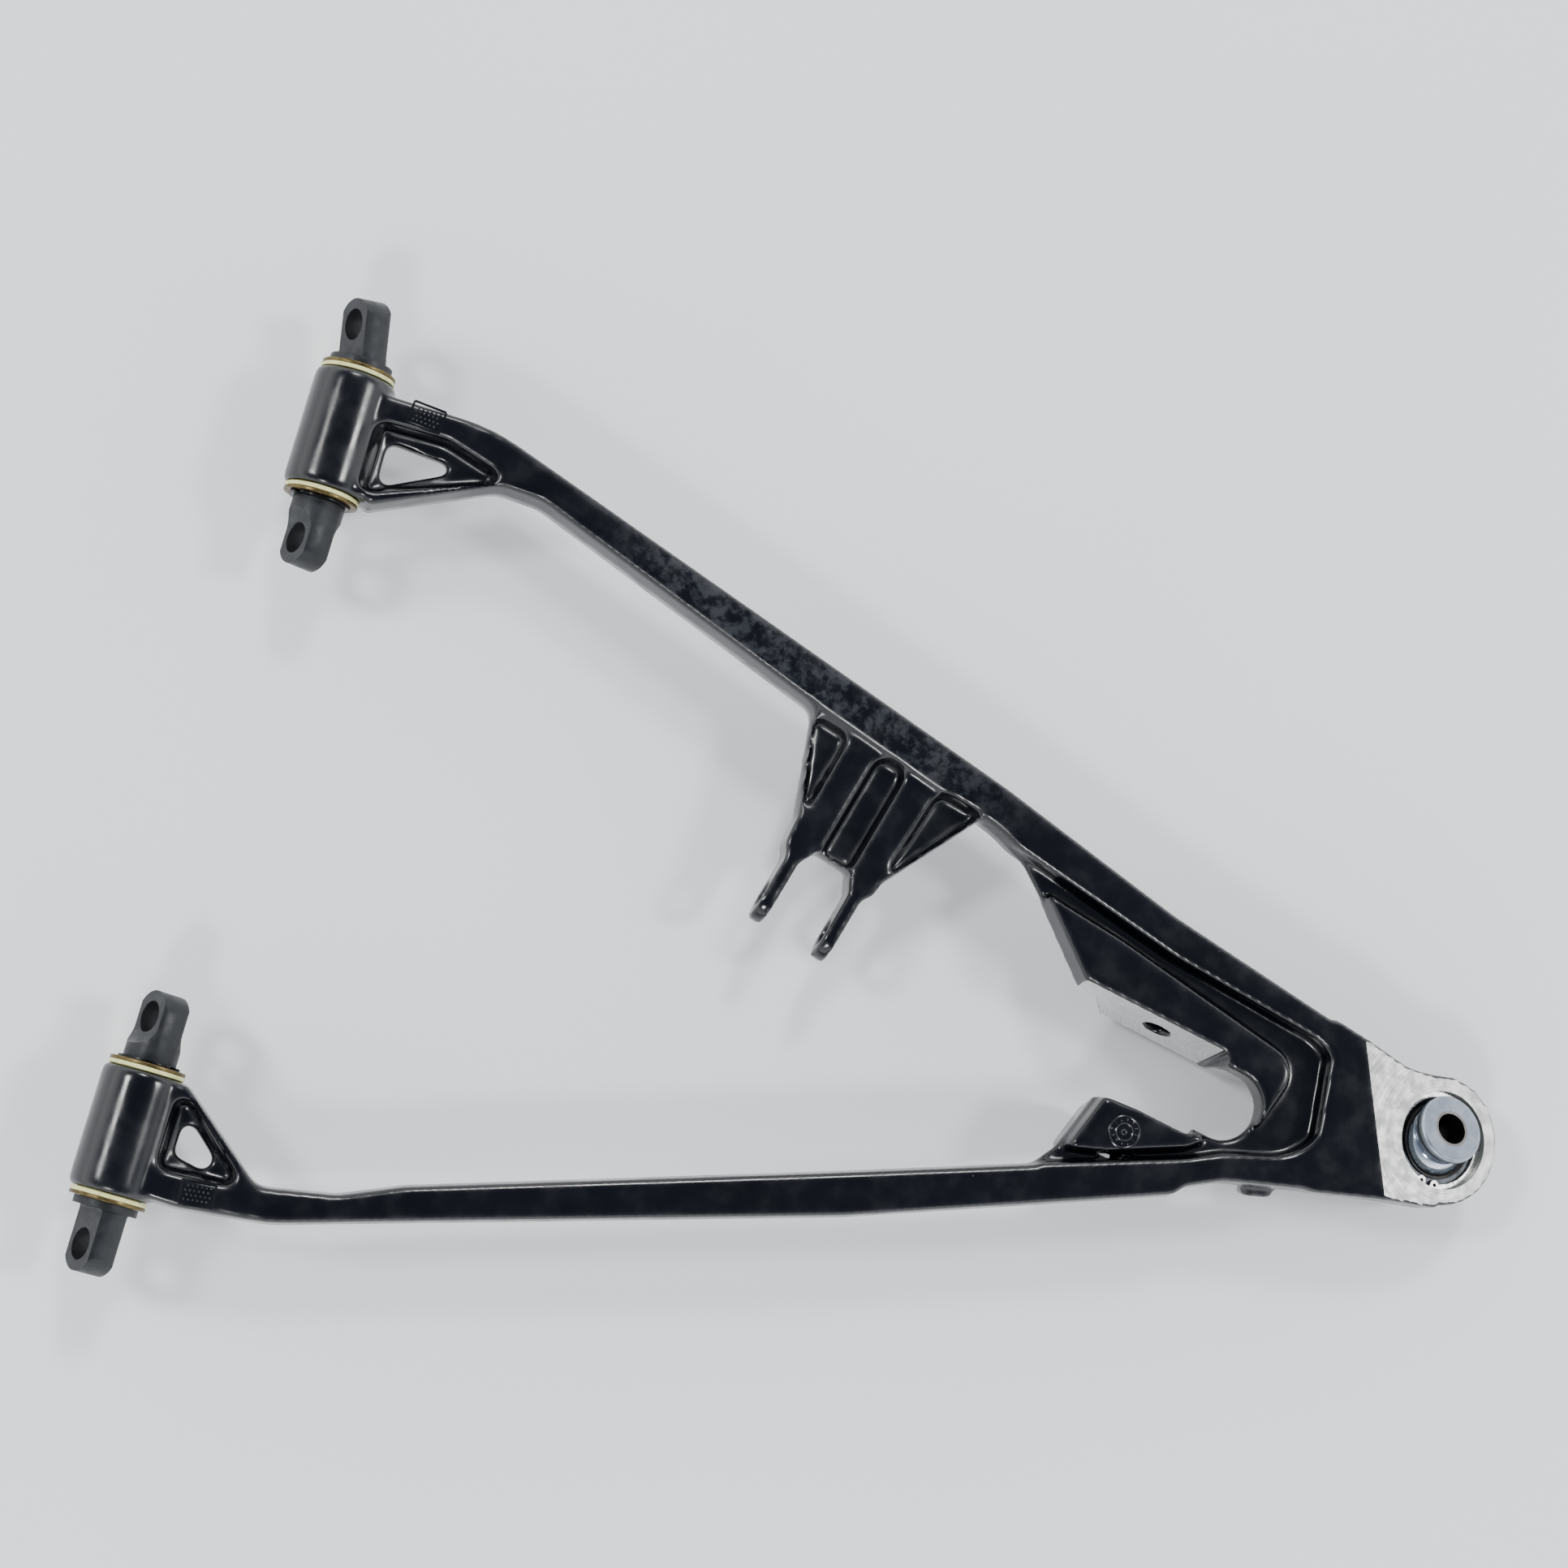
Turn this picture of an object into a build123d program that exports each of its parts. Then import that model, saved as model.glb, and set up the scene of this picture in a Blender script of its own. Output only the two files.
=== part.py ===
from build123d import *
from math import cos, radians, tan
import os

# Lower control arm: an A-shaped aluminium casting, two bolted bar pins in its inner
# tubes and a spherical sleeve joint in its outer eye.
# Origin: the rear bar pin's outer bolt hole, on the pivot line.
# +X points outboard, +Y runs forward along the pivot line, +Z is up. Millimetres.

# ---------- pivot line ----------
PIN_BOLT_SPACING = 89.0      # between the two bolt holes of one bar pin
PIVOT_SPACING = 282.5        # between the middles of the two tubes
REAR_TUBE_Y = PIN_BOLT_SPACING / 2
FRONT_TUBE_Y = REAR_TUBE_Y + PIVOT_SPACING
TUBE_R = 16.25
TUBE_LENGTH = 48.0
TUBE_BORE_R = 12.5
TUBE_ROUND = 2.5             # rounding of the tubes' outer ends

# ---------- bar pins and their bushes ----------
PIN_R = 10.4
PIN_RELIEF_R = 9.6           # grease space between the bushes
RUNNING = 0.05               # radial and axial running clearance
BUSH_LENGTH = 17.0
FLANGE_R = 14.8
BUSH_FLANGE = 1.6
WASHER_T = 1.4
CIRCLIP_T = 1.0
CIRCLIP_R = 12.2
CIRCLIP_GROOVE_R = 9.7
CIRCLIP_ANGLE = 45.0         # where the circlip opens, degrees
COLLAR_R = 12.5
COLLAR_T = 3.0
PADDLE_T = 11.0
PADDLE_LEAN = 60.0           # paddle face turned from +Z towards -X, degrees
FRONT_CRANK = 12.0           # bend of the front pin's outer paddle at its collar, degrees
BOLT_R = 6.25                # clearance for an M12 bolt

# ---------- casting ----------
HALF = 12.0                  # half height of the legs
WEB = 3.5                    # half height of the thin webs
RIB = 9.5                    # half height of the link clevis and its ribs
DEEP = 23.0                  # depth of the damper mount below the parting plane
TROUGH = 2.0                 # height of the trough floor round the damper mount
DRAFT = 5.0
POCKET_DRAFT = 12.0

# ---------- outer eye ----------
EYE_FACE = Vector(501.8, 184.4, 4.0)     # middle of the machined upper face
EYE_TILT = 15.0                          # eye axis from vertical, degrees
EYE_HEADING = 22.0                       # direction of that tilt, from +X, degrees
EYE_T = 24.0
EYE_R = 26.0
EYE_BORE_R = 19.7
SLEEVE_LEAN = Vector(0.185, 0.335, 0.924)  # sleeve axis as the joint rests

# ---------- spherical joint, heights from the ball's middle ----------
BALL_R = 16.0
LINER_T = 0.6
RACE_HALF = 7.0
BALL_FLAT = 10.0             # half height of the ball
SHOULDER_R = 12.0
SHOULDER_TOP = 13.0
O_RING_T = 2.0
O_RING_R = 13.3
SPACER_FLANGE_R = 13.9
SPACER_TOP = 18.0
SPACER_SPIGOT_R = 8.5
SNAP_T = 1.4
SNAP_GROOVE_R = 20.9
SNAP_INNER_R = 17.6
SNAP_GAP = -94.0            # where the snap ring opens, degrees

# ---------- damper mount ----------
SLOT_END = Vector(410.8, 172.7)          # centre of the slot's round end
SLOT_R = 13.5
DAMPER_YAW = 10.55                       # slot direction from -X, degrees
DAMPER_TILT = 7.6                        # mount faces lean from vertical, degrees
UPPER_FACE = 18.4                        # machined faces from the slot's centreline
LOWER_FACE = -17.8
MILL_START = 7.2                         # milled faces start this far from the slot's centre
MILL_R = 6.0
DAMPER_BOLT_REACH = 36.1                 # from the slot's round end to the bolt's axis
DAMPER_BOLT_Z = -5.5                     # height of that axis on the upper face
DAMPER_THREAD_R = 5.1                    # core of an M12 thread
DAMPER_THREAD_DEPTH = 16.0
DAMPER_LUG_DEPTH = 20.0
BLOCK_END = (71.7, 23.0)     # deep block's inboard end: reach at the top, lean in degrees
BOSS_DEPTH = 18.0            # of the small boss under the rear leg

# ---------- link clevis ----------
CLEVIS_ROOT = Vector(231.7, 219.4)       # middle of the gap at its saddle
CLEVIS_YAW = 15.0                        # ears lean from -Y, degrees
EAR_REACH = 34.0
EAR_IN = 11.5
EAR_OUT = 17.3
LINK_HOLE_R = 5.1
LINK_HOLE_REACH = 23.0


def outline(corners):
    """Upward face inside a closed run of corners, each (x, y, corner radius)."""
    followers = corners[1:] + corners[:1]
    if sum(x * v - u * y for (x, y, _), (u, v, _) in zip(corners, followers)) < 0:
        corners = corners[::-1]
    points = [(x, y) for x, y, _ in corners]
    radii = [r for _, _, r in corners]
    return make_face(FilletPolyline(*points, radius=radii, close=True))


def rise(face, low, high, draft=0.0):
    """Solid from a face placed at height low up or down to high."""
    return extrude(Pos(0, 0, low) * face, amount=abs(high - low), taper=draft,
                   dir=(0, 0, 1 if high > low else -1))


def both(shape):
    return shape + mirror(shape, about=Plane.XY)


def ring(outer, inner, low, high):
    wall = Circle(outer) - Circle(inner)
    return extrude(Pos(0, 0, low) * wall, amount=high - low)


EYE_AXIS = Vector(0, 0, 1).rotate(Axis.Y, EYE_TILT).rotate(Axis.Z, EYE_HEADING)
EYE_PLANE = Plane(origin=EYE_FACE, z_dir=EYE_AXIS)
JOINT_CENTRE = EYE_FACE - EYE_AXIS * (EYE_T / 2)
RACE_PLANE = Plane(origin=JOINT_CENTRE, z_dir=EYE_AXIS)
SLEEVE_AXIS = SLEEVE_LEAN.normalized()
SLEEVE_PLANE = Plane(origin=JOINT_CENTRE, z_dir=SLEEVE_AXIS)
SLOT = Location((SLOT_END.X, SLOT_END.Y, 0), (0, 0, 180 - DAMPER_YAW))
CLEVIS = Location((CLEVIS_ROOT.X, CLEVIS_ROOT.Y, 0), (0, 0, -CLEVIS_YAW))


# ---------- arm casting ----------
ARM_OUTLINE = [
    # front tube, front leg's outer edge, neck
    (6, 346.5, 0), (56.3, 346.6, 75), (291.2, 269.3, 60), (370.2, 239.8, 60), (444.3, 217.6, 40),
    (480.5, 208.0, 25), (494.5, 209.3, 0), (501.5, 184, 0),
    # underside of the neck, rear leg's outer edge, rear tube
    (505.5, 157.8, 0), (482.5, 154.5, 20), (458.5, 150, 20), (416.5, 142.5, 6), (402.5, 136.5, 4),
    (398.5, 132, 4), (273.5, 88.2, 120), (60.5, 25.3, 60), (25.5, 21.7, 12), (6, 22.5, 0),
    # rear bracket's rail, rear leg's inner edge
    (6, 68.2, 0), (17, 68.2, 2.5), (52.5, 38.8, 8), (82.5, 44.2, 20), (105.5, 54, 20), (257.5, 102.3, 60),
    # rear damper lug, across the mouth of the slot, outboard web
    (341.5, 129.6, 6), (349, 138.5, 6), (359.5, 163.9, 4), (345.5, 201.5, 0.5),
    (307.5, 242.5, 8), (293.5, 250.4, 10),
    # clevis plate, front leg's inner edge, front bracket's rail
    (285, 253.8, 2), (251, 215, 0), (214, 225.5, 0), (208.5, 277, 5), (82.5, 322.8, 15),
    (65.5, 323.6, 12), (18, 300.8, 2), (16, 303, 0), (6, 303, 0),
]

FRONT_POCKET = [(13.5, 333.5, 3), (40.5, 334.3, 10), (66, 327, 2), (17.5, 308.5, 2), (13.5, 309, 2)]
FRONT_WINDOW = [(19, 329.4, 3), (50.5, 327.5, 2.5), (19.5, 311.4, 3)]
REAR_POCKET = [(15.2, 60.5, 1.5), (19.2, 61, 1.5), (42.8, 39.2, 2), (40.6, 36.9, 1.5), (15.4, 36, 2.5)]
REAR_WINDOW = [(19.2, 57.3, 3), (42, 36.4, 3.6), (19.1, 41.4, 2)]

# the clevis plate lies below the leg's top, with three pockets between its ribs
CLEVIS_FIELD = [(204.5, 279.5, 0), (289.5, 251.5, 0), (298.5, 240, 0), (260.5, 180, 0), (188.5, 190, 0)]
CLEVIS_POCKETS = [
    [(210, 273.5, 2), (224, 269.6, 3), (215.5, 236.5, 1)],
    [(239, 265.6, 4), (250, 262.6, 4), (238.7, 220.6, 1), (227.5, 223.4, 1)],
    [(266, 258.6, 4), (282.5, 254.6, 1), (254, 221.2, 1)],
]

TROUGH_RIM = [
    (290.5, 250.5, 0), (374.5, 223, 60), (451.3, 205, 20), (450.3, 162.5, 23), (414, 154, 30), (398, 147.5, 15),
    (343.5, 130.2, 20), (334.5, 127.5, 0), (328.5, 150, 0), (328.5, 206, 0),
]
PLATEAU = [
    (314, 235.2, 2), (352, 225, 60), (437, 196.8, 12), (425.6, 167, 2), (412, 168, 0), (348.5, 190, 0),
    (343.5, 200, 2),
]
LUG_TOP = [(349, 137, 3), (360, 163.5, 3), (400, 160, 0), (407.5, 157, 1), (399, 150.8, 6), (383, 145.6, 10),
           (368, 140.5, 8)]
# the deep block behind the web's machined face, in the slot's own frame
DEEP_BLOCK = [(5, -12, 0), (65, -12, 0), (65, -41, 4), (40, -36, 20), (5, -29.5, 6)]
LEG_BOSS = [(429, 141, 2), (442, 143.5, 2), (441, 152, 0), (427.5, 150, 0)]


def clevis_ears():
    """Two ears with rounded ends, thick at the root and bored across for the link bolt."""
    shoulder = 3.0
    ear = outline([
        (8.5, 8, 0), (8.5, -1, 3), (EAR_IN, -6, 4), (EAR_IN, -EAR_REACH, 0),
        (EAR_OUT, -EAR_REACH, 0), (EAR_OUT, -6, 4), (EAR_OUT + shoulder, -2, 3),
        (EAR_OUT + shoulder + 1, 8, 0),
    ])
    ears = rise(ear, -RIB, RIB)
    ears += mirror(ears, about=Plane.YZ)
    end = Pos(0, -EAR_REACH + RIB, 0) * (Box(60, 60, 60, align=(Align.CENTER, Align.MAX, Align.CENTER))
                                         - Cylinder(RIB, 60, rotation=(0, 90, 0)))
    return CLEVIS * (ears - end)


def eye_block():
    """Round eye and the wedge of metal that carries it down from the legs' plane."""
    drum = Pos(0, 0, -EYE_T / 2) * Cylinder(EYE_R, EYE_T)
    neck = outline([(444.5, 218, 0), (480.5, 208, 25), (501.5, 209.5, 0), (505, 157, 0), (482, 154, 20),
                    (450.5, 148.5, 0)])
    slab = Pos(0, 0, -EYE_T / 2) * Box(160, 160, EYE_T)
    wedge = rise(neck, -40, HALF) & (EYE_PLANE.location * slab)
    return wedge + EYE_PLANE.location * drum


def damper_blocks():
    """Deep web and lug on each side of the slot, standing in the trough round it."""
    reach, lean = BLOCK_END
    deep = rise(outline(DEEP_BLOCK), -WEB, -DEEP, DRAFT)
    deep -= Pos(reach, 0, HALF) * Rot(0, lean, 0) * Pos(50, 0, 0) * Box(100, 200, 200)
    lug = outline(LUG_TOP)
    blocks = rise(outline(PLATEAU), -WEB, HALF, DRAFT) + SLOT * deep
    return blocks + rise(lug, -WEB, HALF, DRAFT) + rise(lug, -WEB, -DEEP, DRAFT)


def damper_cuts():
    """Slot for the damper's lower eye, its two machined faces and its bolt holes."""
    end_r = SLOT_R - 0.1
    slot = outline([(-SLOT_R, -SLOT_R, end_r), (95, -SLOT_R, 0), (95, SLOT_R, 0), (-SLOT_R, SLOT_R, end_r)])
    cut = rise(slot, -40, 40)
    lean = tan(radians(DAMPER_TILT))
    middle = HALF * lean - (UPPER_FACE + LOWER_FACE) / 2
    thickness = (UPPER_FACE - LOWER_FACE) * cos(radians(DAMPER_TILT))
    milled = Pos(MILL_START + 50, 0, 0) * Box(100, thickness, 90)
    milled = fillet(milled.edges().filter_by(Axis.Z).sort_by(Axis.X)[:2], MILL_R)
    tilt = Rot(DAMPER_TILT, 0, 0)
    cut += Pos(0, middle, 0) * tilt * milled
    return SLOT * (cut + damper_holes(lean))


def damper_holes(lean):
    """Threaded hole in the web and plain blind hole in the lug, on one leaning axis."""
    face_y = -UPPER_FACE + lean * (HALF - DAMPER_BOLT_Z)
    axis = Plane(origin=(DAMPER_BOLT_REACH, face_y, DAMPER_BOLT_Z),
                 z_dir=Vector(0, -1, -lean).normalized())
    gap = (UPPER_FACE - LOWER_FACE) * cos(radians(DAMPER_TILT))
    thread = axis.location * Pos(0, 0, DAMPER_THREAD_DEPTH / 2) * Cylinder(DAMPER_THREAD_R, DAMPER_THREAD_DEPTH)
    plain = axis.location * Pos(0, 0, -gap - DAMPER_LUG_DEPTH / 2) * Cylinder(BOLT_R, DAMPER_LUG_DEPTH)
    return thread + plain


def arm_casting():
    body = both(rise(outline(ARM_OUTLINE), 0, HALF, DRAFT))
    body -= both(rise(outline(CLEVIS_FIELD), RIB, HALF + 1, -POCKET_DRAFT))
    body += clevis_ears()
    for pocket in CLEVIS_POCKETS + [FRONT_POCKET, REAR_POCKET]:
        body -= both(rise(outline(pocket), WEB, HALF + 1, -POCKET_DRAFT))
    for window in (FRONT_WINDOW, REAR_WINDOW):
        body -= both(rise(outline(window), 0, HALF, -DRAFT))
    trough = outline(TROUGH_RIM)
    body -= rise(trough, TROUGH, HALF + 1) + rise(trough, -WEB, -HALF - 1)
    body += damper_blocks()
    body += rise(outline(LEG_BOSS), -HALF / 2, -BOSS_DEPTH, DRAFT)
    body -= above_eye()
    body += eye_block()
    body -= damper_cuts()
    tube = Cylinder(TUBE_R, TUBE_LENGTH)
    tube = fillet(tube.edges().filter_by(GeomType.CIRCLE), TUBE_ROUND)
    for y in (REAR_TUBE_Y, FRONT_TUBE_Y):
        body += Pos(0, y, 0) * Rot(90, 0, 0) * tube
    for y in (REAR_TUBE_Y, FRONT_TUBE_Y):
        body -= Pos(0, y, 0) * Cylinder(TUBE_BORE_R, TUBE_LENGTH + 20, rotation=(90, 0, 0))
    body -= eye_bore()
    body -= CLEVIS * Pos(0, -LINK_HOLE_REACH, 0) * Cylinder(LINK_HOLE_R, 60, rotation=(0, 90, 0))
    return body


def above_eye():
    """Everything above the eye's machined face, outboard of where it meets the legs' top."""
    return EYE_PLANE.location * Pos(0, 0, 20) * Box(160, 160, 40)


def eye_bore():
    """Plain bore with two inner grooves for the snap rings."""
    bore = Cylinder(EYE_BORE_R, EYE_T + 30)
    low = RACE_HALF + 0.1
    groove = ring(SNAP_GROOVE_R, EYE_BORE_R - 1, low, low + SNAP_T + 0.1)
    return RACE_PLANE.location * (bore + both(groove))


# ---------- pivot pieces, each made along +Z about the pivot line ----------
def bush():
    """Flanged plain bearing; the flange seats on the tube's end at Z = 0."""
    sleeve = ring(TUBE_BORE_R, PIN_R + RUNNING, -BUSH_LENGTH, 0)
    return sleeve + ring(FLANGE_R, PIN_R + RUNNING, 0, BUSH_FLANGE)


def washer():
    return ring(FLANGE_R, PIN_R + RUNNING, 0, WASHER_T)


def circlip():
    """External retaining ring with its two drilled lugs."""
    band = ring(CIRCLIP_R, CIRCLIP_GROOVE_R, 0, CIRCLIP_T)
    lug_x = CIRCLIP_R - 0.6
    for y in (-2.6, 2.6):
        lug = Cylinder(1.9, CIRCLIP_T) - Cylinder(0.8, CIRCLIP_T)
        band += Pos(lug_x, y, CIRCLIP_T / 2) * lug
    gap = Pos(CIRCLIP_R, 0, CIRCLIP_T / 2) * Box(12, 1.6, 2 * CIRCLIP_T)
    hole_pair = Pos(lug_x, -2.6, 0) * Cylinder(0.8, 9) + Pos(lug_x, 2.6, 0) * Cylinder(0.8, 9)
    return band - gap - hole_pair


def bar_pin(crank):
    """Pin with a collar at its outer end and a flattened, bolted paddle at each end."""
    reach = PIN_BOLT_SPACING / 2
    tip = reach + PIN_R
    washer_face = TUBE_LENGTH / 2 + BUSH_FLANGE + WASHER_T + 2 * RUNNING
    pin = Cylinder(PIN_R, 2 * tip)
    pin += ring(COLLAR_R, PIN_R - 1, washer_face, washer_face + COLLAR_T)
    pin -= ring(PIN_R + 1, PIN_RELIEF_R, BUSH_LENGTH - TUBE_LENGTH / 2, TUBE_LENGTH / 2 - BUSH_LENGTH)
    groove = washer_face + CIRCLIP_T
    pin -= ring(PIN_R + 1, CIRCLIP_GROOVE_R, -groove - 0.05, -washer_face)
    collar_face = washer_face + COLLAR_T
    pin -= paddle_waste(collar_face, 1.0)
    pin -= mirror(paddle_waste(groove + 4.0, 9.0), about=Plane.XY)
    for z in (-reach, reach):
        pin -= Pos(0, 0, z) * Cylinder(BOLT_R, 60, rotation=(0, 90, 0))
    if not crank:
        return pin
    bend = Location((0, 0, collar_face))
    paddle = bend.inverse() * pin & Box(60, 60, 100, align=(Align.CENTER, Align.CENTER, Align.MIN))
    knuckle = Sphere(PIN_R) & Box(PADDLE_T, 60, 2 * COLLAR_T)
    pin -= bend * Box(60, 60, 100, align=(Align.CENTER, Align.CENTER, Align.MIN))
    return pin + bend * (knuckle + Rot(0, crank, 0) * paddle)


def paddle_waste(start, run_out):
    """What is milled off one end: both flats with their run-out, and the rounded tip."""
    reach = PIN_BOLT_SPACING / 2
    flat = Pos(PADDLE_T / 2 + 20, 0, start + 50) * Box(40, 60, 100)
    flat = fillet(flat.edges().filter_by(Axis.Y).group_by(Axis.Z)[0].sort_by(Axis.X)[0], run_out)
    tip = Pos(0, 0, reach + 50) * Box(60, 60, 100) - Pos(0, 0, reach) * Cylinder(PIN_R, 60, rotation=(0, 90, 0))
    return flat + mirror(flat, about=Plane.YZ) + tip


# ---------- spherical joint pieces, each made along +Z about its middle ----------
def ball():
    solid = Sphere(BALL_R) & Cylinder(BALL_R, 2 * BALL_FLAT)
    return solid - Cylinder(SPACER_SPIGOT_R + RUNNING, 2 * BALL_FLAT)


def race():
    solid = Cylinder(EYE_BORE_R, 2 * RACE_HALF)
    return solid - Sphere(BALL_R + RUNNING + LINER_T)


def liner():
    shell = Sphere(BALL_R + RUNNING + LINER_T) - Sphere(BALL_R + RUNNING)
    return shell & Cylinder(EYE_BORE_R, 2 * RACE_HALF)


def spacer():
    """Flanged spacer: spigot inside the ball, shoulder on its flat, bolt hole through."""
    solid = Cylinder(SPACER_SPIGOT_R, BALL_FLAT, align=(Align.CENTER, Align.CENTER, Align.MIN))
    solid += ring(SHOULDER_R, 5, BALL_FLAT, SHOULDER_TOP)
    solid += ring(SHOULDER_R - 1.5, 5, SHOULDER_TOP, SHOULDER_TOP + O_RING_T)
    solid += ring(SPACER_FLANGE_R, 5, SHOULDER_TOP + O_RING_T, SPACER_TOP)
    solid = chamfer(solid.edges().group_by(Axis.Z)[-1].sort_by(SortBy.RADIUS)[-1], 0.6)
    return solid - Cylinder(BOLT_R, 80)


def o_ring():
    return ring(O_RING_R, SHOULDER_R - 1.5, SHOULDER_TOP, SHOULDER_TOP + O_RING_T)


def snap_ring():
    """Internal retaining ring, open at one side, with its two drilled lugs."""
    low = RACE_HALF + 0.1
    band = ring(SNAP_GROOVE_R - 0.1, SNAP_INNER_R, low, low + SNAP_T)
    middle = low + SNAP_T / 2
    for y in (-3.2, 3.2):
        band += Pos(SNAP_INNER_R + 0.2, y, middle) * Cylinder(2.0, SNAP_T)
    band -= Pos(SNAP_INNER_R, 0, middle) * Box(10, 2.4, 2 * SNAP_T)
    for y in (-3.2, 3.2):
        band -= Pos(SNAP_INNER_R + 0.2, y, middle) * Cylinder(0.8, 2 * SNAP_T)
    return band


def dust_seal():
    """Thin rubber wiper between the snap ring and the ball."""
    low = RACE_HALF + 0.1
    return ring(SNAP_INNER_R - 2.1, BALL_R - 1.2, low, low + 0.8)


def pivot_nodes(end, centre_y, lug_angle):
    """The pieces of one pivot; its collar is at the end of the arm away from the middle."""
    outward = 1 if end == "front" else -1
    frame = Plane(origin=(0, centre_y, 0), x_dir=(0, 0, 1), z_dir=(0, outward, 0)).location
    half = TUBE_LENGTH / 2
    lean, crank = (PADDLE_LEAN, 0) if end == "rear" else (-PADDLE_LEAN, FRONT_CRANK)
    outer_washer = half + BUSH_FLANGE + RUNNING
    clip = outer_washer + WASHER_T + RUNNING
    flip = Rot(180, 0, 0)
    return {
        f"{end}_bar_pin": frame * Rot(0, 0, lean) * bar_pin(crank),
        f"{end}_outer_bush": frame * Pos(0, 0, half) * bush(),
        f"{end}_inner_bush": frame * flip * Pos(0, 0, half) * bush(),
        f"{end}_outer_washer": frame * Pos(0, 0, outer_washer) * washer(),
        f"{end}_inner_washer": frame * flip * Pos(0, 0, outer_washer) * washer(),
        f"{end}_circlip": frame * flip * Pos(0, 0, clip) * Rot(0, 0, lug_angle) * circlip(),
    }


def joint_nodes():
    """The spherical joint: race parts on the eye's axis, ball parts on the sleeve's."""
    seat = RACE_PLANE.location
    sleeve = SLEEVE_PLANE.location
    flip = Rot(180, 0, 0)
    nodes = {
        "bearing_race": seat * race(),
        "race_liner": seat * liner(),
        "joint_ball": sleeve * ball(),
    }
    for side, turn in (("upper", Rot(0, 0, 0)), ("lower", flip)):
        nodes[f"{side}_snap_ring"] = seat * turn * Rot(0, 0, SNAP_GAP) * snap_ring()
        nodes[f"{side}_dust_seal"] = seat * turn * dust_seal()
        nodes[f"{side}_spacer"] = sleeve * turn * spacer()
        nodes[f"{side}_o_ring"] = sleeve * turn * o_ring()
    return nodes


def main():
    os.makedirs("parts", exist_ok=True)
    nodes = {"arm_casting": arm_casting()}
    nodes.update(pivot_nodes("front", FRONT_TUBE_Y, CIRCLIP_ANGLE))
    nodes.update(pivot_nodes("rear", REAR_TUBE_Y, CIRCLIP_ANGLE))
    nodes.update(joint_nodes())
    for name, shape in nodes.items():
        export_step(shape, f"parts/{name}.step")
    hinge = EYE_AXIS.cross(SLEEVE_AXIS).normalized()
    print("joint centre", JOINT_CENTRE, "eye axis", EYE_AXIS, "sleeve axis", SLEEVE_AXIS)
    print("tilt hinge", hinge, "sleeve leans", EYE_AXIS.get_angle(SLEEVE_AXIS))


main()
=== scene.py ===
from math import cos, pi, radians, sin

import bmesh
import bpy
from mathutils import Matrix, Vector


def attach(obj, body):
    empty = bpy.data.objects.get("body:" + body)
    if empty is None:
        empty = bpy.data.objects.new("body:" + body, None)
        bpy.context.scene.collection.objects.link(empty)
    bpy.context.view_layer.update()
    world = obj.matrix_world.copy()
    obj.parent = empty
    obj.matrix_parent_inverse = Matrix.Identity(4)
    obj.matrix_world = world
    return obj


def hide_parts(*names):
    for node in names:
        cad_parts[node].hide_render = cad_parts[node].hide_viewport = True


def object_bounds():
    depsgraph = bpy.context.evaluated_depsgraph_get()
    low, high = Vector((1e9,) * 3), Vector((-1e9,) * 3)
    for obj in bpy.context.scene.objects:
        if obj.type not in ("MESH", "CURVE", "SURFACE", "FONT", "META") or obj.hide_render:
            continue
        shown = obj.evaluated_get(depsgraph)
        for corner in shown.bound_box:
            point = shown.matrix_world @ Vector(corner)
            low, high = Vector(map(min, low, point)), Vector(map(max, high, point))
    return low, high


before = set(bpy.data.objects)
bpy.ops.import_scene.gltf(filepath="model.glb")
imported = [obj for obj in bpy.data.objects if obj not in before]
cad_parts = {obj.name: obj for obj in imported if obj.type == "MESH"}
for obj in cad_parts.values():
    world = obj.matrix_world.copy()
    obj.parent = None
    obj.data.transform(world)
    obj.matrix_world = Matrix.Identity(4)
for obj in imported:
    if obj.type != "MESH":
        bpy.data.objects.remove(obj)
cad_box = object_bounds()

MM = 0.001

# ---------- places on the arm, as in the CAD, metres ----------
EYE_FACE = Vector((501.8, 184.4, 4.0)) * MM
EYE_AXIS = Vector((0.239973, 0.096955, 0.965926))
EYE_BORE_R = 19.7 * MM
GROOVE_R = 21.0 * MM               # snap ring grooves in that bore
GROOVE_SPAN = (7.0 * MM, 8.7 * MM)   # and their heights from its middle
EYE_HALF = 12.0 * MM               # half the eye's thickness
JOINT_CENTRE = Vector((498.920, 183.237, -7.591)) * MM
SLEEVE_AXIS = Vector((0.184979, 0.334962, 0.923896))
SLOT_END = Vector((410.8, 172.7, 0.0)) * MM
SLOT_YAW = radians(180 - 10.55)
DAMPER_TILT = radians(7.6)
UPPER_FACE, LOWER_FACE = 18.4 * MM, -17.8 * MM
MILL_START = 7.2 * MM
MILL_R = 6.0 * MM
LEG_TOP = 12.0 * MM
EYE_LINE = (Vector((458.7, 211.2, 0)) * MM, Vector((476.4, 167.0, 0)) * MM)   # where its milling starts

# ---------- casting skin ----------
VOXEL = 1.1 * MM
SKIN_SMOOTHING = 12              # passes that round the cast edges
SKIM = 0.35 * MM                 # what the milling takes off the cast skin
FACE_FIT = 0.04 * MM             # how near a face lies to a milled plane to belong to it
COAT, TURNED, MILLED = 0, 1, 2   # the skin's material slots

# ---------- studio ----------
FLOOR_NEAR, FLOOR_FAR = -4.0, 5.0
FLOOR_GAP, FLOOR_THICKNESS = 2.0 * MM, 10.0 * MM
SKY_STRENGTH = 2.4
SUN_POWER = 1.1
SUN_SPREAD = radians(10)
SUN_OFF_ZENITH = radians(43)
SUNS = (("left", 172), ("right", 15), ("front", 262), ("back", 95))   # azimuth from +X, degrees

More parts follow.
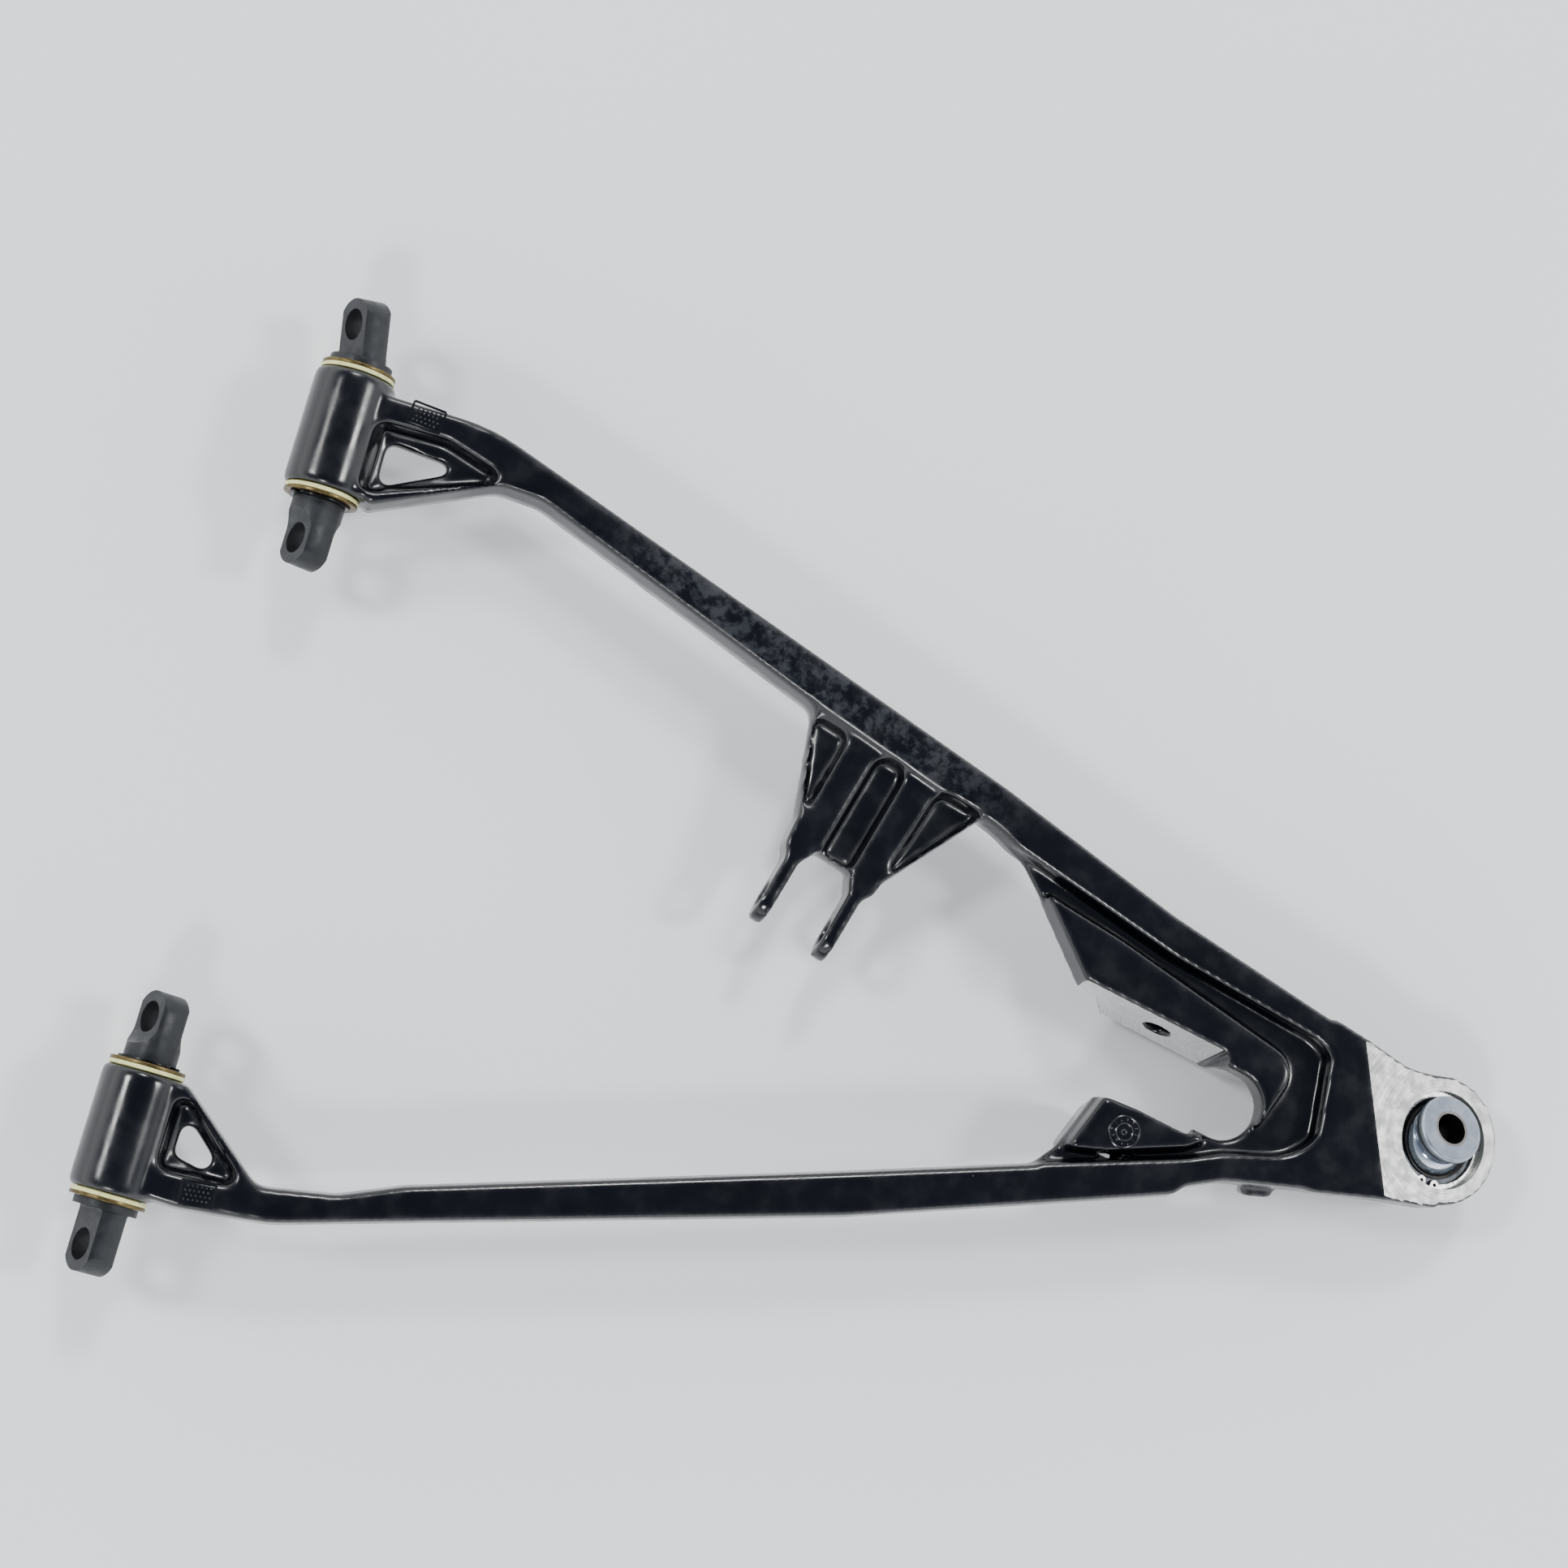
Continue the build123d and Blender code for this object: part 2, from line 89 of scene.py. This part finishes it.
# ---------- camera ----------
LENS, SENSOR = 86.65, 36.0
CAMERA_PLACE = (0.0086, 0.0175, 1.4591)
CAMERA_RIGHT = Vector((0.948583, 0.266972, 0.170048))
CAMERA_UP = Vector((-0.2875, 0.951439, 0.110031))
CAMERA_BACK = Vector((-0.132415, -0.153262, 0.979274))

# ---------- marks on the casting ----------
FRONT_PAD = Vector((30.2, 341.5, 12.0)) * MM
REAR_PAD = Vector((31.6, 29.5, 12.0)) * MM
MEDALLION = Vector((371.7, 150.6, 12.0)) * MM


# ---------- node helpers ----------
def material(name, metallic=0.0):
    mat = bpy.data.materials.new(name)
    mat.use_nodes = True
    shader = mat.node_tree.nodes["Principled BSDF"]
    shader.inputs["Metallic"].default_value = metallic
    shader.inputs["IOR"].default_value = 1.5
    return mat, mat.node_tree, shader


def node(tree, kind, **inputs):
    made = tree.nodes.new(kind)
    for key, value in inputs.items():
        socket = made.inputs[int(key[1:])] if key.startswith("_") else made.inputs[key]
        if isinstance(value, bpy.types.NodeSocket):
            tree.links.new(value, socket)
        else:
            socket.default_value = value
    return made


def position(tree):
    return tree.nodes.new("ShaderNodeTexCoord").outputs["Object"]


def noise(tree, vector, scale, detail=3.0, rough=0.5):
    return node(tree, "ShaderNodeTexNoise", Vector=vector, Scale=scale, Detail=detail,
                Roughness=rough).outputs["Fac"]


def stretch(tree, vector, scale):
    return node(tree, "ShaderNodeMapping", Vector=vector, Scale=scale).outputs["Vector"]


def ramp(tree, value, *stops):
    """Colour ramp over (place, colour) stops."""
    made = node(tree, "ShaderNodeValToRGB", Fac=value)
    elements = made.color_ramp.elements
    while len(elements) < len(stops):
        elements.new(0.5)
    for element, (place, colour) in zip(elements, stops):
        element.position = place
        element.color = (*colour, 1.0)
    return made.outputs["Color"]


def span(tree, value, low, high, to_low, to_high):
    made = node(tree, "ShaderNodeMapRange", _0=value, _1=low, _2=high, _3=to_low, _4=to_high)
    made.interpolation_type = "SMOOTHSTEP"
    return made.outputs[0]


def maths(tree, kind, a, b=0.0):
    made = tree.nodes.new("ShaderNodeMath")
    made.operation = kind
    for socket, value in zip(made.inputs, (a, b)):
        if isinstance(value, bpy.types.NodeSocket):
            tree.links.new(value, socket)
        else:
            socket.default_value = value
    return made.outputs[0]


def vector_maths(tree, kind, a, b, result="Vector"):
    made = tree.nodes.new("ShaderNodeVectorMath")
    made.operation = kind
    tree.links.new(a, made.inputs[0])
    made.inputs[1].default_value = b
    return made.outputs[result]


def mixed(tree, share, a, b):
    """Colour a where share is 0 and colour b where it is 1."""
    made = tree.nodes.new("ShaderNodeMix")
    made.data_type = "RGBA"
    tree.links.new(share, made.inputs["Factor"])
    for socket, value in ((made.inputs[6], a), (made.inputs[7], b)):
        if isinstance(value, bpy.types.NodeSocket):
            tree.links.new(value, socket)
        else:
            socket.default_value = (*value, 1.0)
    return made.outputs[2]


def relief(tree, shader, height, strength, distance):
    made = node(tree, "ShaderNodeBump", Height=height, Strength=strength, Distance=distance)
    tree.links.new(made.outputs["Normal"], shader.inputs["Normal"])


def plug(tree, shader, **sockets):
    for key, value in sockets.items():
        tree.links.new(value, shader.inputs[key.replace("_", " ")])


# ---------- materials ----------
def powder_coat():
    """Gloss black powder coat with dust, handling marks and a dull patch on the front leg."""
    mat, tree, shader = material("powder_coat")
    shader.inputs["Coat Weight"].default_value = 0.15
    shader.inputs["Coat Roughness"].default_value = 0.2
    place = position(tree)
    cloud = noise(tree, place, 45, 5)
    base = ramp(tree, cloud, (0.3, (0.0011, 0.0015, 0.0027)), (0.7, (0.0023, 0.0029, 0.0050)))
    axes = node(tree, "ShaderNodeSeparateXYZ", Vector=place)
    along = maths(tree, "MULTIPLY", span(tree, axes.outputs[0], 0.09, 0.15, 0, 1),
                  span(tree, axes.outputs[0], 0.25, 0.32, 1, 0))
    on_top = maths(tree, "MULTIPLY", span(tree, axes.outputs[2], 0.0112, 0.0119, 0, 1),
                   span(tree, axes.outputs[1], 0.20, 0.24, 0, 1))
    blotch = span(tree, noise(tree, place, 160, 6, 0.7), 0.42, 0.62, 0, 1)
    dull = maths(tree, "MULTIPLY", maths(tree, "MULTIPLY", along, on_top), blotch)
    specks = node(tree, "ShaderNodeTexVoronoi", Vector=place, Scale=95.0)
    dust = maths(tree, "MULTIPLY", span(tree, specks.outputs["Distance"], 0.018, 0.03, 1, 0),
                 span(tree, noise(tree, place, 30, 2), 0.52, 0.6, 0, 1))
    colour = mixed(tree, dull, base, (0.012, 0.014, 0.019))
    colour = mixed(tree, dust, colour, (0.32, 0.31, 0.28))
    smears = span(tree, noise(tree, place, 90, 4), 0.35, 0.7, 0.16, 0.30)
    rough = maths(tree, "ADD", smears, maths(tree, "MULTIPLY", dull, 0.25))
    plug(tree, shader, Base_Color=colour, Roughness=rough)
    relief(tree, shader, noise(tree, place, 700, 2), 0.10, 0.00008)
    return mat


def machined(name, centre, ring_scale, tint):
    """Bare cast aluminium, turned or milled: fine rings about a centre, with stains."""
    mat, tree, shader = material(name, metallic=0.85)
    place = position(tree)
    radius = vector_maths(tree, "DISTANCE", place, centre, "Value")
    rings = tree.nodes.new("ShaderNodeTexNoise")
    rings.noise_dimensions = "1D"
    rings.inputs["Detail"].default_value = 4.0
    tree.links.new(maths(tree, "MULTIPLY", radius, ring_scale), rings.inputs["W"])
    rings.inputs["Scale"].default_value = 1.0
    stain = noise(tree, place, 130, 6, 0.65)
    pale, dark = tint, tuple(c * 0.86 for c in tint)
    colour = ramp(tree, stain, (0.34, dark), (0.62, pale))
    colour = mixed(tree, span(tree, rings.outputs["Fac"], 0.35, 0.72, 0, 0.55), colour,
                   tuple(c * 0.5 for c in tint))
    rough = span(tree, noise(tree, place, 220, 4), 0.3, 0.7, 0.30, 0.48)
    plug(tree, shader, Base_Color=colour, Roughness=rough)
    relief(tree, shader, rings.outputs["Fac"], 0.25, 0.00006)
    return mat


def steel(name, light, dark, scale, rough, grain=(1, 1, 1), metallic=0.9):
    """Plated or phosphated steel: two tones of cloud, fine grain along one direction."""
    mat, tree, shader = material(name, metallic=metallic)
    place = position(tree)
    cloud = noise(tree, place, scale, 6, 0.62)
    lines = noise(tree, stretch(tree, place, grain), 900, 3)
    colour = ramp(tree, cloud, (0.32, dark), (0.68, light))
    colour = mixed(tree, span(tree, lines, 0.4, 0.75, 0, 0.3), colour, tuple(c * 0.6 for c in light))
    roughness = span(tree, noise(tree, place, scale * 2.2, 4), 0.3, 0.7, rough[0], rough[1])
    plug(tree, shader, Base_Color=colour, Roughness=roughness)
    relief(tree, shader, lines, 0.12, 0.00005)
    return mat


def plated_spacer():
    """Blue zinc, with a brown stained ring round the bolt hole and painted shade making the bore near-black.
    """
    mat = steel("blue_zinc", (0.40, 0.44, 0.50), (0.27, 0.30, 0.35), 150, (0.30, 0.42))
    tree = mat.node_tree
    shader = tree.nodes["Principled BSDF"]
    plated = shader.inputs["Base Color"].links[0].from_socket
    from_centre = vector_maths(tree, "SUBTRACT", position(tree), JOINT_CENTRE)
    across = vector_maths(tree, "CROSS_PRODUCT", from_centre, SLEEVE_AXIS)
    radius = node(tree, "ShaderNodeVectorMath", _0=across)
    radius.operation = "LENGTH"
    radius = radius.outputs["Value"]
    stain = maths(tree, "MULTIPLY", span(tree, radius, 6.9 * MM, 7.9 * MM, 1, 0), 0.75)
    colour = mixed(tree, stain, plated, (0.20, 0.17, 0.13))
    # painted shade: inside the bolt hole the plating is coloured near-black, standing in for the shade in
    # the hole
    colour = mixed(tree, span(tree, radius, 6.2 * MM, 6.5 * MM, 1, 0), colour, (0.012, 0.011, 0.010))
    plug(tree, shader, Base_Color=colour)
    return mat


def moulded(name, light, dark, rough, scale=260):
    """Moulded plastic or rubber with a faint mottled skin."""
    mat, tree, shader = material(name)
    place = position(tree)
    colour = ramp(tree, noise(tree, place, scale, 4), (0.3, dark), (0.7, light))
    roughness = span(tree, noise(tree, place, scale * 1.7, 3), 0.3, 0.7, rough - 0.08, rough + 0.08)
    plug(tree, shader, Base_Color=colour, Roughness=roughness)
    relief(tree, shader, noise(tree, place, 1400, 2), 0.12, 0.00005)
    return mat


def backdrop_material():
    mat, tree, shader = material("pale_floor")
    colour = ramp(tree, noise(tree, position(tree), 3, 2),
                  (0.3, (0.92, 0.92, 0.92)), (0.7, (0.95, 0.95, 0.95)))
    plug(tree, shader, Base_Color=colour)
    shader.inputs["Roughness"].default_value = 0.75
    return mat


# ---------- mesh helpers ----------
def new_piece(name, mesh, mats):
    piece = bpy.data.objects.new(name, mesh)
    bpy.context.scene.collection.objects.link(piece)
    for mat in mats:
        mesh.materials.append(mat)
    return piece


def box_mesh(low, high, round_edges=()):
    """Box between two corners, with some of its edges along Z rounded: (x sign, y sign, radius)."""
    mesh = bpy.data.meshes.new("box")
    form = bmesh.new()
    bmesh.ops.create_cube(form, size=1.0)
    for vert in form.verts:
        vert.co = Vector([l + (h - l) * (c + 0.5) for l, h, c in zip(low, high, vert.co)])
    middle = (Vector(low) + Vector(high)) / 2
    for sign_x, sign_y, radius in round_edges:
        edges = [edge for edge in form.edges
                 if all((vert.co.x - middle.x) * sign_x > 0 and (vert.co.y - middle.y) * sign_y > 0
                        for vert in edge.verts)]
        bmesh.ops.bevel(form, geom=edges, offset=radius, segments=8, profile=0.5, affect="EDGES")
    bmesh.ops.recalc_face_normals(form, faces=form.faces)
    form.to_mesh(mesh)
    form.free()
    return mesh


def shade(mesh, angle=32):
    """Smooth shading, with sharp edges at steep angles and where the material changes."""
    mesh.polygons.foreach_set("use_smooth", [True] * len(mesh.polygons))
    mesh.set_sharp_from_angle(angle=radians(angle))
    form = bmesh.new()
    form.from_mesh(mesh)
    for edge in form.edges:
        if len({face.material_index for face in edge.link_faces}) > 1:
            edge.smooth = False
    form.to_mesh(mesh)
    form.free()


def applied(piece):
    """The piece's mesh with its modifiers worked in."""
    graph = bpy.context.evaluated_depsgraph_get()
    graph.update()
    return bpy.data.meshes.new_from_object(piece.evaluated_get(graph))


# ---------- casting ----------
def eye_face_height(place):
    """Height of the eye's upper face above a place on the parting plane."""
    off = place - EYE_FACE
    return EYE_FACE.z - (off.x * EYE_AXIS.x + off.y * EYE_AXIS.y) / EYE_AXIS.z


def eye_cutter():
    """Takes the skin off the eye's upper face, outboard of the line where the milling starts."""
    start, end = EYE_LINE
    line = (end - start).normalized()
    out = Vector((-line.y, line.x, 0))
    mesh = bpy.data.meshes.new("eye_cutter")
    form = bmesh.new()
    near, far = start - line * 0.05, end + line * 0.08
    base = [near, far, far + out * 0.2, near + out * 0.2]
    lower = [form.verts.new((p.x, p.y, eye_face_height(p) - SKIM)) for p in base]
    upper = [form.verts.new((p.x, p.y, eye_face_height(p) + 0.05)) for p in base]
    form.faces.new(lower)
    form.faces.new(upper)
    for i in range(4):
        j = (i + 1) % 4
        form.faces.new((lower[i], lower[j], upper[j], upper[i]))
    bmesh.ops.recalc_face_normals(form, faces=form.faces)
    form.to_mesh(mesh)
    form.free()
    return mesh


def eye_disc(form, radius, low, high, steps=128):
    """Closed disc on the eye's axis, between two heights from its middle."""
    turn = Vector((0, 0, 1)).rotation_difference(EYE_AXIS).to_matrix()
    rings = [[form.verts.new(JOINT_CENTRE + turn @ Vector((radius * cos(2 * pi * i / steps),
                                                           radius * sin(2 * pi * i / steps), z)))
              for i in range(steps)] for z in (low, high)]
    for i in range(steps):
        j = (i + 1) % steps
        form.faces.new((rings[0][i], rings[0][j], rings[1][j], rings[1][i]))
    form.faces.new(rings[1])
    form.faces.new(rings[0][::-1])


def disc_mesh(name, radius, low, high):
    mesh = bpy.data.meshes.new(name)
    form = bmesh.new()
    eye_disc(form, radius, low, high)
    form.to_mesh(mesh)
    form.free()
    return mesh


def plug_bore(mesh):
    """Fills the eye's bore, so that its rim stays sharp when it is bored again."""
    form = bmesh.new()
    form.from_mesh(mesh)
    reach = EYE_HALF - 0.1 * MM
    eye_disc(form, GROOVE_R + 1.2 * MM, -reach, reach)
    form.to_mesh(mesh)
    form.free()


def slot_frame():
    return Matrix.Translation(SLOT_END) @ Matrix.Rotation(SLOT_YAW, 4, "Z")


def damper_cutter():
    """Takes the skin off both milled faces of the damper slot."""
    lean = sin(DAMPER_TILT) / cos(DAMPER_TILT)
    middle = LEG_TOP * lean - (UPPER_FACE + LOWER_FACE) / 2
    half = (UPPER_FACE - LOWER_FACE) * cos(DAMPER_TILT) / 2 + SKIM
    mesh = box_mesh((MILL_START - SKIM, -half, -0.05), (0.11, half, 0.05),
                    [(-1, -1, MILL_R), (-1, 1, MILL_R)])
    tilt = Matrix.Rotation(DAMPER_TILT, 4, "X")
    mesh.transform(slot_frame() @ Matrix.Translation((0, middle, 0)) @ tilt)
    return mesh


def milled_normal():
    """Normal of the web's milled face, which looks across the slot."""
    return (slot_frame().to_3x3() @ Matrix.Rotation(DAMPER_TILT, 3, "X") @ Vector((0, 1, 0))).normalized()


def casting_skin(coat, turned, milled):
    """The casting with its cast edges rounded and its machined faces cut back sharp."""
    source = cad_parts["arm_casting"]
    skin = new_piece("casting_skin", source.data.copy(), [])
    skin.data.materials.clear()
    plug_bore(skin.data)
    modifier = skin.modifiers.new("round", "REMESH")
    modifier.mode = "VOXEL"
    modifier.voxel_size = VOXEL
    modifier = skin.modifiers.new("soften", "SMOOTH")
    modifier.factor = 0.5
    modifier.iterations = SKIN_SMOOTHING
    cutters = []
    low, high = GROOVE_SPAN
    reach = 2 * EYE_HALF
    for name, mesh in (("eye_cutter", eye_cutter()), ("damper_cutter", damper_cutter()),
                       ("bore", disc_mesh("bore", EYE_BORE_R + 0.03 * MM, -reach, reach)),
                       ("upper_groove", disc_mesh("upper_groove", GROOVE_R, low, high)),
                       ("lower_groove", disc_mesh("lower_groove", GROOVE_R, -high, -low))):
        cutter = new_piece(name, mesh, [])
        modifier = skin.modifiers.new(name, "BOOLEAN")
        modifier.operation = "DIFFERENCE"
        modifier.solver = "EXACT"
        modifier.object = cutter
        cutters.append(cutter)
    old = skin.data
    skin.data = applied(skin)
    skin.modifiers.clear()
    bpy.data.meshes.remove(old)
    for cutter in cutters:
        bpy.data.objects.remove(cutter)
    mesh = skin.data
    mesh.materials.clear()
    for mat in (coat, turned, milled):
        mesh.materials.append(mat)
    side = milled_normal()
    web_face = slot_frame() @ Vector((0.04, -UPPER_FACE, LEG_TOP))
    lug_face = slot_frame() @ Vector((0.04, -LOWER_FACE, LEG_TOP))
    for face in mesh.polygons:
        centre, normal = face.center, face.normal
        face.material_index = COAT
        depth = (centre - EYE_FACE).dot(EYE_AXIS) + SKIM * EYE_AXIS.z
        radial = (centre - EYE_FACE).cross(EYE_AXIS).length
        on_face = abs(depth) < FACE_FIT and normal.dot(EYE_AXIS) > 0.99
        if on_face or radial < EYE_BORE_R + 1.6 * MM:
            face.material_index = TURNED
        for point, sign in ((web_face, 1), (lug_face, -1)):
            off_plane = abs((centre - point).dot(side) + sign * SKIM)
            if abs(normal.dot(side)) > 0.995 and off_plane < 2 * FACE_FIT:
                face.material_index = MILLED
    shade(mesh)
    for face in mesh.polygons:
        looks_up = face.material_index != COAT and face.normal.dot(EYE_AXIS) > 0.99
        if looks_up or face.material_index == MILLED:
            face.use_smooth = False
    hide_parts("arm_casting")
    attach(skin, "arm")
    return skin


# ---------- cast marks ----------
def joined(name, forms, mats, body="arm"):
    """One piece out of several bmesh builders."""
    mesh = bpy.data.meshes.new(name)
    form = bmesh.new()
    for build in forms:
        build(form)
    bmesh.ops.recalc_face_normals(form, faces=form.faces)
    form.to_mesh(mesh)
    form.free()
    shade(mesh, 40)
    piece = new_piece(name, mesh, mats)
    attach(piece, body)
    return piece


def stud(place, radius, height):
    """Low domed stud on a surface."""
    def build(form):
        rows = [(1.0, -0.3), (1.0, 0.0), (0.82, 0.6), (0.45, 0.95)]
        turned_profile(form, place, [(radius * r, height * h) for r, h in rows], 14)
    return build


def turned_profile(form, place, rows, steps):
    """Closed solid of revolution about Z from (radius, height) rows, lowest first."""
    rings = []
    for radius, height in rows:
        rings.append([form.verts.new(place + Vector((radius * cos(2 * pi * i / steps),
                                                      radius * sin(2 * pi * i / steps), height)))
                      for i in range(steps)])
    for low, high in zip(rings, rings[1:]):
        for i in range(steps):
            j = (i + 1) % steps
            form.faces.new((low[i], low[j], high[j], high[i]))
    form.faces.new(rings[-1])
    form.faces.new(rings[0][::-1])


def frame_bar(place, turn, size, centre):
    """One bar of a raised frame, as a chamfered block."""
    def build(form):
        spin = Matrix.Rotation(turn, 4, "Z")
        half = Vector(size) / 2
        levels = [(0.0, -0.4 * MM), (0.0, size[2] * 0.5), (0.35 * MM, size[2])]
        rings = []
        for inset, z in levels:
            x, y = half.x - inset, half.y - inset
            rings.append([form.verts.new(place + spin @ (Vector(centre) + Vector((a * x, b * y, z))))
                          for a, b in ((-1, -1), (1, -1), (1, 1), (-1, 1))])
        for low, high in zip(rings, rings[1:]):
            for i in range(4):
                form.faces.new((low[i], low[(i + 1) % 4], high[(i + 1) % 4], high[i]))
        form.faces.new(rings[-1])
        form.faces.new(rings[0][::-1])
    return build


def grid_pad(name, place, turn, coat):
    """Inspection pad: a low frame round rows of small studs."""
    wide, deep, bar, tall = 13.0 * MM, 9.0 * MM, 0.9 * MM, 0.28 * MM
    spin = Matrix.Rotation(turn, 4, "Z")
    forms = [frame_bar(place, turn, (wide, bar, tall), (0, s * deep / 2, 0)) for s in (-1, 1)]
    forms += [frame_bar(place, turn, (bar, deep, tall), (s * wide / 2, 0, 0)) for s in (-1, 1)]
    pitch = 1.75 * MM
    for row in range(4):
        for column in range(6):
            step = Vector(((column - 2.5 + 0.5 * (row % 2) - 0.25) * pitch, (row - 1.5) * pitch, 0))
            forms.append(stud(place + spin @ step, 0.5 * MM, 0.35 * MM))
    return joined(name, forms, [coat])


def medallion(coat):
    """Plain cast roundel: a rim, a ring of short ticks and a small middle boss."""
    outer = 6.2 * MM
    forms = []
    for radius, width in ((outer, 0.5 * MM), (outer * 0.55, 0.4 * MM)):
        forms.append(lambda form, r=radius, w=width: hoop(form, MEDALLION, r, w, 0.45 * MM))
    for i in range(12):
        turn = 2 * pi * i / 12
        forms.append(frame_bar(MEDALLION, turn, (1.4 * MM, 0.6 * MM, 0.35 * MM), (outer * 0.78, 0, 0)))
    forms.append(stud(MEDALLION, 1.3 * MM, 0.4 * MM))
    return joined("cast_roundel", forms, [coat])


def hoop(form, place, radius, width, height, steps=48):
    """Ring of rounded section lying on a surface."""
    section = [(-width, -0.4 * MM), (-width * 0.8, height * 0.6), (0, height), (width * 0.8, height * 0.6),
               (width, -0.4 * MM)]
    loops = []
    for i in range(steps):
        a = 2 * pi * i / steps
        out = Vector((cos(a), sin(a), 0))
        loops.append([form.verts.new(place + out * (radius + r) + Vector((0, 0, z))) for r, z in section])
    for i in range(steps):
        here, there = loops[i], loops[(i + 1) % steps]
        for k in range(len(section)):
            m = (k + 1) % len(section)
            form.faces.new((here[k], there[k], there[m], here[m]))


# ---------- CAD nodes ----------
def finish_node(name, mat, bevel=0.0):
    """Gives a CAD node its material and, where its edges are broken, a small bevel."""
    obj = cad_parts[name]
    if not obj.material_slots:
        obj.data.materials.append(mat)
    for place in obj.material_slots:
        place.material = mat
    if bevel:
        weld = obj.modifiers.new("weld", "WELD")
        weld.merge_threshold = 0.005 * MM
        edge = obj.modifiers.new("edges", "BEVEL")
        edge.width = bevel
        edge.segments = 3
        edge.limit_method = "ANGLE"
        edge.angle_limit = radians(35)
        edge.harden_normals = False


def sun(name, azimuth, power):
    """Small hard-edged softbox far away, half way down the sky."""
    lamp = bpy.data.lights.new(name, "SUN")
    lamp.energy = power
    lamp.angle = SUN_SPREAD
    obj = bpy.data.objects.new(name, lamp)
    level = sin(SUN_OFF_ZENITH)
    source = Vector((level * cos(azimuth), level * sin(azimuth), cos(SUN_OFF_ZENITH)))
    obj.rotation_euler = source.to_track_quat("Z", "Y").to_euler()
    bpy.context.scene.collection.objects.link(obj)


def studio():
    """Pale floor, dark zenith with a bright horizon all round, and four far softboxes."""
    top = cad_box[0][2] - FLOOR_GAP
    mesh = box_mesh((FLOOR_NEAR, FLOOR_NEAR, top - FLOOR_THICKNESS), (FLOOR_FAR, FLOOR_FAR, top))
    floor = new_piece("floor", mesh, [backdrop_material()])
    world = bpy.data.worlds.new("studio")
    bpy.context.scene.world = world
    world.use_nodes = True
    tree = world.node_tree
    direction = tree.nodes.new("ShaderNodeTexCoord").outputs["Generated"]
    height = node(tree, "ShaderNodeSeparateXYZ", Vector=direction).outputs[2]
    sky = ramp(tree, height, (0.0, (1.0, 1.0, 1.0)), (0.3, (0.88, 0.90, 0.93)), (0.6, (0.17, 0.19, 0.23)),
               (1.0, (0.05, 0.06, 0.08)))
    tree.links.new(sky, tree.nodes["Background"].inputs["Color"])
    tree.nodes["Background"].inputs["Strength"].default_value = SKY_STRENGTH
    for name, azimuth in SUNS:
        sun(name, radians(azimuth), SUN_POWER)


def camera():
    """Looks down on the arm from just outside its pivot line, about 1.5 m away."""
    lens = bpy.data.cameras.new("camera")
    lens.lens, lens.sensor_width = LENS, SENSOR
    obj = bpy.data.objects.new("camera", lens)
    turn = Matrix((CAMERA_RIGHT, CAMERA_UP, CAMERA_BACK)).transposed().to_4x4()
    obj.matrix_world = Matrix.Translation(CAMERA_PLACE) @ turn
    bpy.context.scene.collection.objects.link(obj)
    bpy.context.scene.camera = obj


def main():
    coat = powder_coat()
    turned = machined("turned_aluminium", EYE_FACE, 800, (0.40, 0.41, 0.39))
    milled = machined("milled_aluminium", SLOT_END, 1500, (0.82, 0.82, 0.81))
    casting_skin(coat, turned, milled)
    grid_pad("front_grid_pad", FRONT_PAD, radians(-4), coat)
    grid_pad("rear_grid_pad", REAR_PAD, radians(6), coat)
    medallion(coat)

    phosphate = steel("phosphate", (0.022, 0.024, 0.027), (0.012, 0.013, 0.015), 120, (0.38, 0.52),
                      (1, 0.08, 1), 0.4)
    olive_zinc = steel("olive_zinc", (0.17, 0.128, 0.052), (0.075, 0.056, 0.023), 260, (0.28, 0.45))
    black_steel = steel("black_spring_steel", (0.022, 0.022, 0.024), (0.008, 0.008, 0.009), 300, (0.25, 0.4))
    bright_steel = steel("bright_spring_steel", (0.62, 0.62, 0.60), (0.34, 0.34, 0.33), 220, (0.22, 0.38))
    dark_race = steel("dark_race", (0.05, 0.055, 0.06), (0.02, 0.022, 0.025), 200, (0.2, 0.34))
    blue_zinc = plated_spacer()
    polished = steel("polished_ball", (0.62, 0.68, 0.74), (0.48, 0.53, 0.60), 80, (0.08, 0.16), metallic=1.0)
    cream = moulded("cream_plastic", (0.80, 0.80, 0.38), (0.62, 0.61, 0.23), 0.42)
    woven = moulded("woven_liner", (0.20, 0.17, 0.13), (0.10, 0.085, 0.065), 0.6, 900)
    rubber = moulded("black_rubber", (0.018, 0.018, 0.019), (0.008, 0.008, 0.009), 0.55)

    for end in ("front", "rear"):
        finish_node(f"{end}_bar_pin", phosphate, 0.9 * MM)
        finish_node(f"{end}_circlip", black_steel, 0.12 * MM)
        for side in ("outer", "inner"):
            finish_node(f"{end}_{side}_bush", cream, 0.3 * MM)
            finish_node(f"{end}_{side}_washer", olive_zinc, 0.25 * MM)
    for side in ("upper", "lower"):
        finish_node(f"{side}_spacer", blue_zinc, 0.35 * MM)
        finish_node(f"{side}_o_ring", rubber, 0.7 * MM)
        finish_node(f"{side}_snap_ring", bright_steel, 0.15 * MM)
        finish_node(f"{side}_dust_seal", rubber, 0.1 * MM)
    finish_node("joint_ball", polished, 0.3 * MM)
    finish_node("bearing_race", dark_race, 0.3 * MM)
    finish_node("race_liner", woven, 0.05 * MM)

    studio()
    camera()


main()
